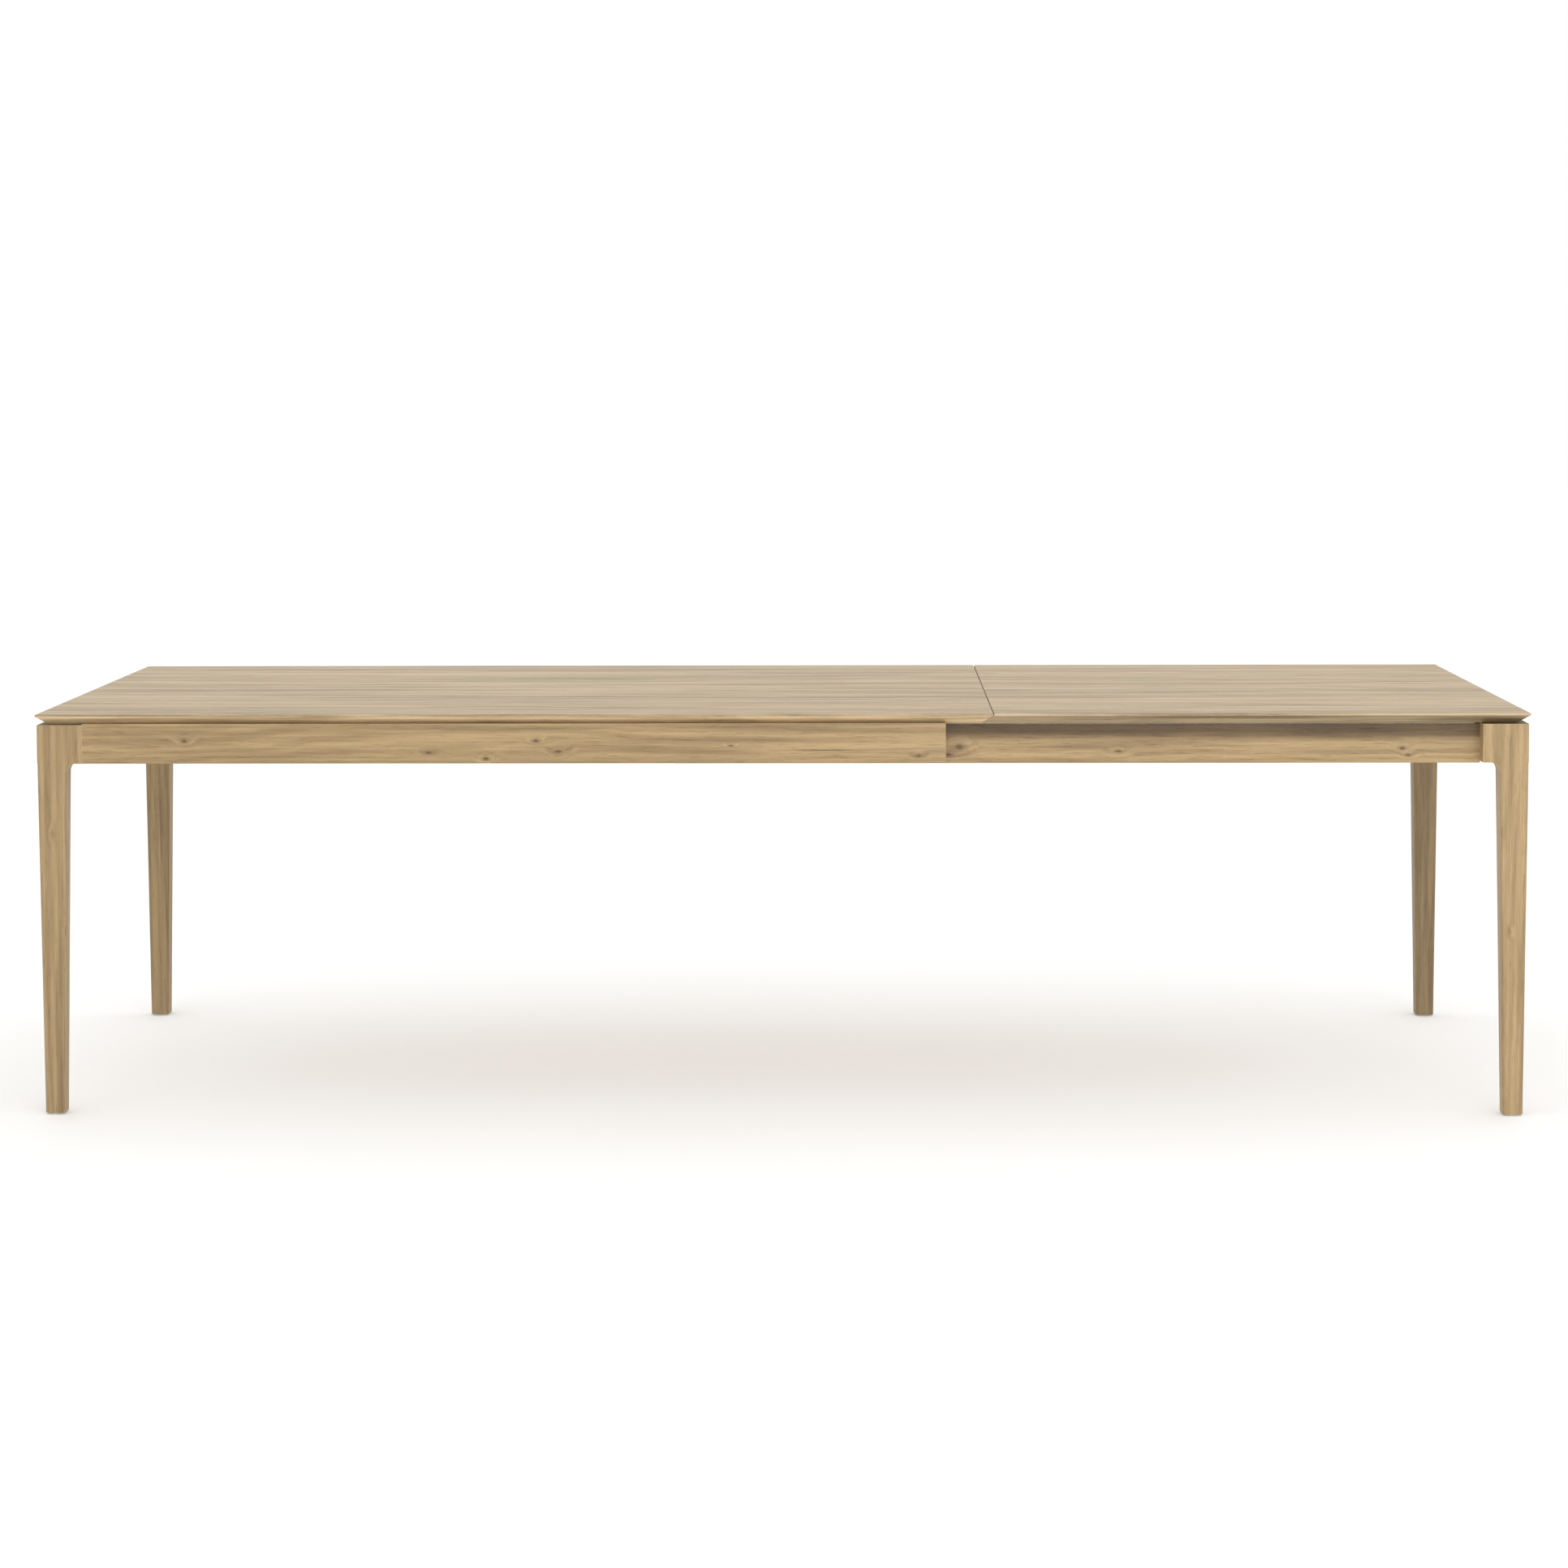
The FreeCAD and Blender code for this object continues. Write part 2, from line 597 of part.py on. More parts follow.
def make_lock(side, sign):
    """One leaf lock: a cam lever on a shoulder screw; gives the room it needs in the main top."""
    y = lock_y * sign
    low = underside - lever_drop - lever_thick
    cam_foot = low + lever_thick
    body_high = lever_thick + cam_height
    cam = rod(f"cam_{side}", cam_radius, cam_height, lock_x, y - cam_throw * sign, cam_foot)
    hub = rod(f"lever_hub_{side}", hub_radius, lever_thick, lock_x, y, low)
    arm = block(
        f"lever_arm_{side}", (lock_x - lever_long, lock_x), (y - lever_wide / 2, y + lever_wide / 2),
        (low, cam_foot))
    tip = rod(f"lever_tip_{side}", lever_wide / 2, lever_thick, lock_x - lever_long, y, low)
    bore = rod(
        f"lever_bore_{side}", pivot_radius + fit_slack, body_high + overcut * 2, lock_x, y, low - overcut)
    blank = fuse(f"lever_blank_{side}", [cam, hub, arm, tip])
    keep(carve(f"lever_bored_{side}", blank, [bore]), f"leaf_lock_lever_{side}")

    head_top = low - pivot_play
    head_low = head_top - pivot_head_thick
    thread_start = low + body_high + pivot_play
    shoulder = rod(
        f"pivot_shoulder_{side}", pivot_radius, body_high + pivot_play * 2, lock_x, y, head_top)
    head = rod(f"pivot_head_{side}", pivot_head, pivot_head_thick, lock_x, y, head_low)
    thread = rod(f"pivot_thread_{side}", pivot_thread, thread_long, lock_x, y, thread_start)
    slot = block(
        f"pivot_slot_{side}", (lock_x - pivot_head, lock_x + pivot_head),
        (y - slot_wide / 2, y + slot_wide / 2), (head_low - overcut, head_low + slot_deep))
    keep(carve(f"pivot_{side}", fuse(f"pivot_blank_{side}", [shoulder, head, thread]), [slot]),
         f"leaf_lock_pivot_{side}")
    pocket = rod(
        f"lock_pocket_{side}", cam_radius + cam_throw + pocket_slack, cam_height - lever_drop + pivot_play,
        lock_x, y, underside)
    thread_hole = rod(
        f"pivot_hole_{side}", pivot_thread + fit_slack, thread_long + fit_slack * 2, lock_x, y, thread_start)
    return [pocket, thread_hole]


# ---------------------------------------------------------------- legs

def leg(node, side_x, side_y, top, cutters):
    """A leg at the corner named by two signs: tapered shank, square head, flare between them."""
    body = doc.addObject("PartDesign::Body", f"{node}_shank")
    shank_top = apron_foot - flare_radius

    def section(name, level, inset, width, arris, side_arris):
        """The leg's section: two outer faces, two inner sides and a chamfered inner corner."""
        flat_side = leg_flat * width / leg_shank

        def at(u, v):
            return (leg_outer_x - inset - u) * side_x, (leg_outer_y - inset - v) * side_y

        sketch = sketch_on(body, f"{node}_{name}", "XY_Plane", level)
        corners = [
            at(arris, 0), at(width - side_arris, 0), at(width, side_arris), at(width, flat_side),
            at(flat_side, width), at(side_arris, width), at(0, width - side_arris), at(0, arris)]
        arcs = {
            1: (at(width - side_arris, side_arris), side_arris),
            5: (at(side_arris, width - side_arris), side_arris),
            7: (at(arris, arris), arris)}
        return outline(sketch, corners, arcs)

    foot = section("foot", glide_rise, foot_inset, leg_foot, foot_arris, foot_side_arris)
    neck = section("neck", shank_top, 0, leg_shank, leg_arris, leg_arris)
    loft(body, f"{node}_taper", foot, neck)
    pad(body, f"{node}_collar", neck, flare_radius)

    blank = fuse(f"{node}_blank", [body] + head_solids(node, side_x, side_y, top, shank_top))
    return keep(carve(f"{node}_cut", blank, cutters), node)


def head_solids(node, side_x, side_y, top, shank_top):
    """The square head, and the concave flares that lead the two outer faces into it."""
    head = block(
        f"{node}_head", span(side_x, leg_inner_x, leg_outer_x), span(side_y, leg_inner_y, leg_outer_y),
        (apron_foot, top))
    flare_x = leg_outer_x - leg_shank - flare_radius
    flare_y = leg_outer_y - leg_shank - flare_radius
    levels = (shank_top, apron_foot)
    reach = flare_radius + leg_flat / 2
    long_flare = block(
        f"{node}_long_flare", span(side_x, flare_x, flare_x + reach),
        span(side_y, leg_outer_y - leg_flat, leg_outer_y), levels)
    end_flare = block(
        f"{node}_end_flare", span(side_x, leg_outer_x - leg_flat, leg_outer_x),
        span(side_y, flare_y, flare_y + reach), levels)
    hollow_x = rod(
        f"{node}_hollow_x", flare_radius, table_width, flare_x * side_x, half_width, shank_top, TOWARDS_FRONT)
    hollow_y = rod(
        f"{node}_hollow_y", flare_radius, table_length, -half_length, flare_y * side_y, shank_top, ALONG_X)
    return [
        head, carve(f"{node}_long_curve", long_flare, [hollow_x]),
        carve(f"{node}_end_curve", end_flare, [hollow_y])]


def make_glides(group_name, side_x):
    """The glides under the two legs of one end, each a disc with a stem; gives the stem holes."""
    glides = []
    holes = []
    x = (leg_outer_x - foot_inset - glide_inset) * side_x
    for side, sign in SIDES:
        y = (leg_outer_y - foot_inset - glide_inset) * sign
        disc = rod(f"{group_name}_disc_{side}", glide_radius, glide_rise, x, y, 0)
        stem = rod(f"{group_name}_stem_{side}", glide_stem_radius, glide_stem, x, y, glide_rise)
        glides.append(fuse(f"{group_name}_{side}", [disc, stem]))
        holes.append(rod(
            f"{group_name}_hole_{side}", glide_stem_radius + fit_slack, glide_stem + overcut, x, y,
            glide_rise))
    keep(group(f"{group_name}_group", glides), group_name)
    return holes


# ---------------------------------------------------------------- aprons

def tenon(name, x, y):
    """A tenon between an apron and a leg, the same on both sides of the joint."""
    return block(name, x, y, (apron_foot + tenon_shoulder, underside - tenon_shoulder))


def end_tenons(name, side_x, end_sign, back, thick):
    """Tenon of a long apron into one end's leg; gives a block for the tenon and its mortise."""
    middle = back + thick / 2
    x = span(side_x, leg_inner_x, leg_inner_x + tenon_long)
    return tenon(name, x, span(end_sign, middle - tenon_thick / 2, middle + tenon_thick / 2))


def long_apron(name, x, sign, back, face, foot, upper_edge):
    """A long apron as a profile drawn across the table and extruded along it. foot is the level of
    its lower edge; upper_edge is the outline of its upper edge, as (distance from the table's
    middle, height), from the outer face inwards."""
    body = doc.addObject("PartDesign::Body", f"{name}_board")
    sketch = sketch_on(body, f"{name}_profile", "YZ_Plane", x[0])
    profile = [
        (back, foot + apron_ease), (back + apron_ease, foot), (face - apron_ease, foot),
        (face, foot + apron_ease)] + upper_edge
    outline(sketch, [(y * sign, z) for y, z in profile])
    pad(body, f"{name}_length", sketch, x[1] - x[0])
    return body


def end_apron(name, side_x, top, cutters):
    """The short apron between the two legs of one end, with its tenons."""
    low, high = span(side_x, leg_outer_x - apron_thick, leg_outer_x)
    body = doc.addObject("PartDesign::Body", f"{name}_board")
    sketch = sketch_on(body, f"{name}_profile", "XZ_Plane", -leg_inner_y)
    outline(sketch, [
        (low, top), (low, apron_foot + apron_ease), (low + apron_ease, apron_foot),
        (high - apron_ease, apron_foot), (high, apron_foot + apron_ease), (high, top)])
    pad(body, f"{name}_length", sketch, leg_inner_y * 2)
    tenons = end_apron_tenons(name, side_x)
    whole = fuse(f"{name}_whole", [body] + tenons)
    return keep(carve(f"{name}_cut", whole, cutters) if cutters else whole, name)


def end_apron_tenons(name, side_x):
    """Both tenons of an end apron."""
    middle = leg_outer_x - apron_thick / 2
    x = span(side_x, middle - tenon_thick / 2, middle + tenon_thick / 2)
    return [
        tenon(f"{name}_tenon_{side}", x, span(sign, leg_inner_y, leg_inner_y + tenon_long))
        for side, sign in SIDES]


def apron_dowels():
    """Dowels that hold the main frame's aprons up against the top; gives their holes."""
    low = underside - apron_dowel_down
    length = apron_dowel_down + apron_dowel_up
    strip_middle = (outer_back + bevel_foot) / 2
    first = apron_dowel_first - leg_inner_x
    step = (outer_end - apron_dowel_last - first) / (APRON_DOWELS - 1)
    points = [
        (first + step * number, strip_middle * sign) for _, sign in SIDES for number in range(APRON_DOWELS)]
    end_middle = (leg_outer_x - apron_thick + half_length - bevel_run) / 2
    points += [(-end_middle, leg_inner_y * row) for row in END_DOWEL_ROWS]
    dowels = []
    holes = []
    for number, (x, y) in enumerate(points):
        dowels.append(rod(f"apron_dowel_{number}", apron_dowel_radius, length, x, y, low))
        holes.append(rod(
            f"apron_dowel_hole_{number}", apron_dowel_radius + fit_slack, length + overcut, x, y, low))
    keep(group("apron_dowel_group", dowels), "apron_dowels")
    return group("apron_dowel_holes", holes)


# ---------------------------------------------------------------- corner blocks and bolts

def corner(name, side_x, sign, back, height, levels):
    """A corner block with its bolts, washers and nuts. Gives the block, the bolts, washers and
    nuts, and the bolts' hole in the leg."""
    near_sum = leg_inner_x + leg_inner_y
    far_sum = near_sum - block_thick * DIAGONAL * 2
    end_face = leg_outer_x - apron_thick
    body = doc.addObject("PartDesign::Body", f"{name}_blank")
    sketch = sketch_on(body, f"{name}_outline", "XY_Plane", block_foot)
    outline(sketch, [
        ((near_sum - back) * side_x, back * sign), ((far_sum - back) * side_x, back * sign),
        (end_face * side_x, (far_sum - end_face) * sign), (end_face * side_x, (near_sum - end_face) * sign)])
    pad(body, f"{name}_pad", sketch, height)
    outward = FreeCAD.Rotation(FreeCAD.Vector(0, 0, 1), FreeCAD.Vector(side_x, sign, 0))

    def along(part, radius, length, level, reach):
        """A rod on the bolt's line that starts at a distance inward of the leg's inner corner."""
        return rod(
            f"{name}_{part}", radius, length, (leg_inner_x - reach * DIAGONAL) * side_x,
            (leg_inner_y - reach * DIAGONAL) * sign, level, outward)

    bolts, washers, nuts, holes = [], [], [], []
    tail = block_thick + bolt_tail
    for number, level in enumerate(levels):
        bolts.append(along(f"bolt_{number}", bolt_radius, tail + bolt_bury, level, tail))
        holes.append(
            along(f"hole_{number}", bolt_radius + fit_slack, tail + bolt_bury + overcut, level, tail))
        disc = along(f"washer_{number}", washer_radius, washer_thick, level, block_thick + washer_thick)
        washers.append(carve(f"{name}_washer_ring_{number}", disc, [holes[-1]]))
        nut = doc.addObject("Part::Prism", f"{name}_nut_{number}")
        nut.Polygon = 6
        bind(nut, "Circumradius", nut_radius)
        bind(nut, "Height", nut_thick)
        reach = (block_thick + washer_thick + nut_thick) * DIAGONAL
        place(nut, (leg_inner_x - reach) * side_x, (leg_inner_y - reach) * sign, level, outward)
        nuts.append(carve(f"{name}_nut_ring_{number}", nut, [holes[-1]]))
    keep(carve(f"{name}_drilled", body, holes), name)
    return bolts, washers, nuts, holes


def corners(frame_name, side_x, end_name, back, height, levels):
    """Both corners of one end; gives the holes in the front and in the back leg."""
    every = {"bolts": [], "washers": [], "nuts": []}
    holes = {}
    for side, sign in SIDES:
        bolts, washers, nuts, holes[side] = corner(
            f"corner_block_{side}_{end_name}", side_x, sign, back, height, levels)
        every["bolts"] += bolts
        every["washers"] += washers
        every["nuts"] += nuts
    for kind, members in every.items():
        keep(group(f"{kind}_{frame_name}", members), f"corner_{kind}_{frame_name}")
    return holes


# ---------------------------------------------------------------- slides

def make_channels():
    """The two slide channels, open towards the inner aprons; gives the screw holes in the top."""
    step = (channel_end - channel_start - channel_screw_edge * 2) / (CHANNEL_SCREWS - 1)
    flange_middle = (channel_inner + channel_wall + channel_outer) / 2
    places = [
        (channel_start + channel_screw_edge + step * number, flange_middle * sign, underside - channel_wall)
        for _, sign in SIDES for number in range(CHANNEL_SCREWS)]
    holes = screws("channel_screws", short_template, short_hole, places)
    for side, sign in SIDES:
        body = doc.addObject("PartDesign::Body", f"slide_channel_{side}_section")
        sketch = sketch_on(body, f"slide_channel_{side}_profile", "YZ_Plane", channel_start)
        web = channel_inner + channel_wall
        outline(sketch, [(y * sign, z) for y, z in (
            (channel_inner, channel_foot), (channel_outer, channel_foot),
            (channel_outer, channel_foot + channel_wall), (web, channel_foot + channel_wall),
            (web, underside - channel_wall), (channel_outer, underside - channel_wall),
            (channel_outer, underside), (channel_inner, underside))])
        pad(body, f"slide_channel_{side}_length", sketch, channel_end - channel_start)
        keep(carve(f"slide_channel_{side}_drilled", body, [holes]), f"slide_channel_{side}")
    return holes


def make_stops():
    """Nylon stops in both ends of both channels."""
    stops = []
    for side, sign in SIDES:
        for end, start in (("left", channel_start), ("right", channel_end - stop_long)):
            stops.append(block(
                f"stop_{side}_{end}", (start, start + stop_long),
                span(sign, channel_inner + channel_wall, channel_outer - stop_recess),
                (channel_foot + channel_wall, underside - channel_wall)))
    keep(group("stops", stops), "channel_stops")


def make_shoes():
    """Nylon shoes that run in the channels, screwed to the inner aprons; gives the screw holes."""
    starts = [inner_start + shoe_inset, inner_start + shoe_inset + shoe_pitch]
    shoe_web = channel_inner + channel_wall + shoe_side_slack
    low = channel_foot + channel_wall + shoe_slack
    high = underside - channel_wall - shoe_slack
    head_y = inner_back - shoe_floor
    shoes = []
    screw_groups = []
    hole_groups = []
    for side, sign in SIDES:
        outward = FreeCAD.Rotation(FreeCAD.Vector(0, 0, -1), FreeCAD.Vector(0, sign, 0))
        places = [(start + shoe_long * part, head_y * sign, (low + high) / 2)
                  for start in starts for part in SHOE_SCREWS]
        screw_groups.append(copies(f"shoe_screws_{side}", long_template, places, outward))
        hole_groups.append(copies(f"shoe_screw_holes_{side}", long_hole, places, outward))
        for number, start in enumerate(starts):
            body = block(
                f"shoe_{side}_{number}", (start, start + shoe_long), span(sign, shoe_web, inner_back),
                (low, high))
            wells = [
                rod(f"shoe_well_{side}_{number}_{index}", screw_head + well_slack,
                    head_y - shoe_web + overcut, start + shoe_long * part, (shoe_web - overcut) * sign,
                    (low + high) / 2,
                    FreeCAD.Rotation(FreeCAD.Vector(0, 0, 1), FreeCAD.Vector(0, sign, 0)))
                for index, part in enumerate(SHOE_SCREWS)]
            shoes.append(carve(f"shoe_{side}_{number}_drilled", body, wells + [hole_groups[-1]]))
    keep(group("shoes", shoes), "slide_shoes")
    keep(group("shoe_screws_both", screw_groups), "shoe_screws")
    return dict(zip(("front", "back"), hole_groups))


def make_cross_rails():
    """Two rails that tie the inner aprons together; gives the dowel holes."""
    dowels = []
    holes = []
    starts = {"end": inner_start + rail_inset, "middle": (inner_start + leg_inner_x) / 2}
    middle = block_foot + rail_thick / 2
    for name, start in starts.items():
        for side, sign in SIDES:
            outward = FreeCAD.Rotation(FreeCAD.Vector(0, 0, 1), FreeCAD.Vector(0, sign, 0))
            for number, part in enumerate(RAIL_DOWELS):
                where = (start + rail_wide * part, (inner_back - rail_dowel_bury) * sign, middle, outward)
                dowels.append(rod(
                    f"rail_dowel_{name}_{side}_{number}", dowel_radius, dowel_long, *where))
                holes.append(rod(
                    f"rail_dowel_hole_{name}_{side}_{number}", dowel_radius + fit_slack,
                    dowel_long + overcut, *where))
    hole_group = group("rail_dowel_holes", holes)
    for name, start in starts.items():
        rail = block(
            f"cross_rail_{name}_blank", (start, start + rail_wide), (-inner_back, inner_back),
            (block_foot, block_foot + rail_thick))
        keep(carve(f"cross_rail_{name}_drilled", rail, [hole_group]), f"cross_rail_{name}")
    keep(group("rail_dowel_group", dowels), "cross_rail_dowels")
    return hole_group


# ---------------------------------------------------------------- assembly

def make_main_frame(top_holes, apron_holes):
    """Main top, left legs, outer aprons and left end apron."""
    sign_x = -1
    bolt_holes = corners(
        "fixed", sign_x, "left", outer_back, fixed_block_height,
        [block_foot + fixed_block_height * part for part in FIXED_BOLTS])
    glide_holes = make_glides("leg_glides_fixed", sign_x)
    meets_bevel = bevel_foot + bevel_run * apron_rise / (top_thick - tip_thick)
    raised = underside + apron_rise
    tucked_edge = [
        (leg_outer_y, raised), (meets_bevel, raised), (bevel_foot, underside), (outer_back, underside)]
    for index, (side, sign) in enumerate(SIDES):
        mortise = end_tenons(f"outer_tenon_{side}", sign_x, sign, outer_back, apron_thick)
        board = long_apron(
            f"apron_{side}_outer", (-leg_inner_x, outer_end), sign, outer_back, leg_outer_y, apron_foot,
            tucked_edge)
        whole = fuse(f"apron_{side}_outer_whole", [board, mortise])
        keep(carve(f"apron_{side}_outer_cut", whole, [apron_holes]), f"apron_{side}_outer")
        leg(f"leg_{side}_left", sign_x, sign, underside,
            [mortise] + end_apron_tenons(f"left_mortise_{side}", sign_x) + bolt_holes[side]
            + [glide_holes[index]])
    end_apron("apron_left_end", sign_x, underside, [apron_holes])
    low_face = (-half_length + bevel_run, seam - bevel_run)
    blank = panel("main_top_panel", low_face, (-half_length, seam))
    keep(carve("main_top_cut", blank, top_holes + [apron_holes]), "main_top")


def make_sliding_frame():
    """Right legs, inner aprons, right end apron, rails, shoes and glide strips."""
    bolt_holes = corners(
        "sliding", 1, "right", inner_back, sliding_block_height,
        [block_foot + sliding_block_height * part for part in SLIDING_BOLTS])
    glide_holes = make_glides("leg_glides_sliding", 1)
    shoe_holes = make_shoes()
    rail_holes = make_cross_rails()
    strip_middle = inner_back + inner_thick / 2
    for index, (side, sign) in enumerate(SIDES):
        mortise = end_tenons(f"inner_tenon_{side}", 1, sign, inner_back, inner_thick)
        board = long_apron(
            f"apron_{side}_inner", (inner_start, leg_inner_x), sign, inner_back, inner_face,
            apron_foot - inner_drop, [(inner_face, inner_top), (inner_back, inner_top)])
        whole = fuse(f"apron_{side}_inner_whole", [board, mortise])
        keep(carve(f"apron_{side}_inner_cut", whole, [shoe_holes[side], rail_holes]), f"apron_{side}_inner")
        leg(f"leg_{side}_right", 1, sign, sliding_top,
            [mortise] + end_apron_tenons(f"right_mortise_{side}", 1) + bolt_holes[side]
            + [glide_holes[index]])
        keep(block(
            f"strip_{side}", (inner_start + shoe_inset, leg_inner_x - shoe_inset),
            span(sign, strip_middle - strip_wide / 2, strip_middle + strip_wide / 2),
            (inner_top, strip_top)), f"glide_strip_{side}")
    end_apron("apron_right_end", 1, sliding_top, [])


def make_leaf(dowel_holes, bearer_holes):
    """The leaf, its lip reaching under the main top's bevel."""
    start = seam + seam_gap
    blank = panel("leaf_blank", (start - bevel_run, half_length - bevel_run), (start, half_length))
    recesses = stiffeners("leaf_stiffeners", start, half_length, LEAF_BARS)
    grooves = bearer_grooves("leaf_groove", (start - bevel_run - overcut, seam + bearer_fixed + groove_slack))
    keep(carve("leaf_cut", blank, recesses + grooves + dowel_holes + [bearer_holes]), "leaf_panel")


leaf_snug_holes, leaf_loose_holes = make_leaf_dowels()
bearer_screw_holes = make_bearers()
lock_room = [room for side, sign in SIDES for room in make_lock(side, sign)]
main_recesses = stiffeners("top_stiffeners", -half_length, seam, TOP_BARS)
main_grooves = bearer_grooves("main_groove", (seam - bearer_reach - groove_run, seam + overcut))
make_stops()
make_main_frame(
    main_recesses + main_grooves + leaf_loose_holes + lock_room + [make_keepers(), make_channels()],
    apron_dowels())
make_sliding_frame()
make_leaf(leaf_snug_holes, bearer_screw_holes)

# ---------------------------------------------------------------- check and write

doc.recompute()
for item in doc.Objects:
    if {"Invalid", "Error"} & set(item.State):
        raise RuntimeError(f"{item.Name} failed: {item.State}")
os.makedirs("parts", exist_ok=True)
for item in pieces:
    if item.Shape.isNull() or not item.Shape.isValid():
        raise RuntimeError(f"{item.Label} has no valid shape")
    item.Shape.exportStep(f"parts/{item.Label}.step")
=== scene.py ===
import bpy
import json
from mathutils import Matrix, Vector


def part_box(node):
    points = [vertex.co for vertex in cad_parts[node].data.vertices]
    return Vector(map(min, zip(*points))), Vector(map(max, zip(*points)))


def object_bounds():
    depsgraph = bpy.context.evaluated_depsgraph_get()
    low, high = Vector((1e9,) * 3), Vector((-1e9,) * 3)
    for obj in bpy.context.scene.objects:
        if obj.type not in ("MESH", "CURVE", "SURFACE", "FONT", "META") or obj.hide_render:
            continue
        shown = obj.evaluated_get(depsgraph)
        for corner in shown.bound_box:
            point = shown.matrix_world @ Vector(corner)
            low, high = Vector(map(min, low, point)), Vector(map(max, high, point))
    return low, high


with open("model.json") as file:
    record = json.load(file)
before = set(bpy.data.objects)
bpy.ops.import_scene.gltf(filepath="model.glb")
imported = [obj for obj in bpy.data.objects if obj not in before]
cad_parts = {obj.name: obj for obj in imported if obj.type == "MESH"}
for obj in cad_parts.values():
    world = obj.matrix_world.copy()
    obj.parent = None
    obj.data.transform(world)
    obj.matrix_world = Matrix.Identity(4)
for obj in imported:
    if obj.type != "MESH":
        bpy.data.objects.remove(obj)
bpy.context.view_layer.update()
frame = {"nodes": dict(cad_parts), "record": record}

import json
import math

import bpy
from mathutils import Euler, Vector

# Looks for the extendable dining table: oiled oak with staves, grain, pores and knots, end grain,
# steel, aluminium, nylon and beech, a white studio floor, one soft light and the camera.
# Lengths are metres in the frame's own axes: +X towards the leaf, -Y the front, +Z up.

LOW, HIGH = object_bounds()
MIDDLE = (LOW + HIGH) / 2
RECORD_SLOTS = {part["node"]: part["material_slot"] for part in frame["record"]["subparts"]}

# ---------------------------------------------------------------- camera

CAMERA_SIDE = 0.132          # right of the table's middle
CAMERA_AWAY = 6.11           # in front of the front edge
CAMERA_HEIGHT = 1.410
CAMERA_LENS = 75.34
CAMERA_TURN = 1.137          # degrees, to the left
CAMERA_TILT = -2.917         # degrees, downwards
CAMERA_ROLL = 0.191          # degrees
CAMERA_SHIFT = -0.16


def make_camera():
    """The camera, level but for a small tilt, so that the legs stay nearly upright."""
    data = bpy.data.cameras.new("camera")
    data.lens = CAMERA_LENS
    data.shift_y = CAMERA_SHIFT
    camera = bpy.data.objects.new("camera", data)
    bpy.context.collection.objects.link(camera)
    camera.location = (MIDDLE.x + CAMERA_SIDE, LOW.y - CAMERA_AWAY, CAMERA_HEIGHT)
    turns = (90 + CAMERA_TILT, CAMERA_ROLL, CAMERA_TURN)
    camera.rotation_euler = Euler([math.radians(turn) for turn in turns], "XYZ")
    bpy.context.scene.camera = camera


# ---------------------------------------------------------------- studio

FLOOR_SIZE = 60.0
FLOOR_MOTTLE = 0.7           # noise scale per metre
FLOOR_ROUGHNESS = 0.8
FLOOR_LIGHT = (0.90, 0.90, 0.90, 1)
FLOOR_DARK = (0.88, 0.88, 0.875, 1)
SKY_LIGHT = 1.0
FLOOR_GLOW = 0.2
WHITE = (1, 1, 1, 1)
KEY_PLACE = (1.6, -4.8, 1.3)
KEY_SIZE = 3.5
KEY_POWER = 60


def area_light(name, location, target, size, power):
    """A soft square light aimed at a point."""
    data = bpy.data.lights.new(name, "AREA")
    data.shape = "SQUARE"
    data.size = size
    data.energy = power
    light = bpy.data.objects.new(name, data)
    bpy.context.collection.objects.link(light)
    light.location = location
    aim = Vector(target) - Vector(location)
    light.rotation_euler = aim.to_track_quat("-Z", "Y").to_euler()


def make_studio():
    """A pale floor, an even white surround and one soft light from the front."""
    bpy.ops.mesh.primitive_plane_add(size=FLOOR_SIZE, location=(MIDDLE.x, MIDDLE.y, LOW.z))
    floor = bpy.context.object
    floor.name = "studio_floor"
    surface = Surface("studio_floor")
    mottle = surface.noise(surface.object_vector(), FLOOR_MOTTLE, 3)
    surface.finish(surface.ramp(mottle, (0.3, FLOOR_DARK), (0.7, FLOOR_LIGHT)), FLOOR_ROUGHNESS)
    surface.shader.inputs["Emission Color"].default_value = FLOOR_LIGHT
    surface.shader.inputs["Emission Strength"].default_value = FLOOR_GLOW
    floor.data.materials.append(surface.material)

    world = bpy.data.worlds.new("surround")
    world.use_nodes = True
    world.node_tree.nodes["Background"].inputs["Color"].default_value = WHITE
    world.node_tree.nodes["Background"].inputs["Strength"].default_value = SKY_LIGHT
    bpy.context.scene.world = world
    area_light("key", KEY_PLACE, (MIDDLE.x, MIDDLE.y, HIGH.z), KEY_SIZE, KEY_POWER)
    bpy.context.scene.view_settings.view_transform = "Standard"


# ---------------------------------------------------------------- node helper

BUMP_STRENGTH = 0.6


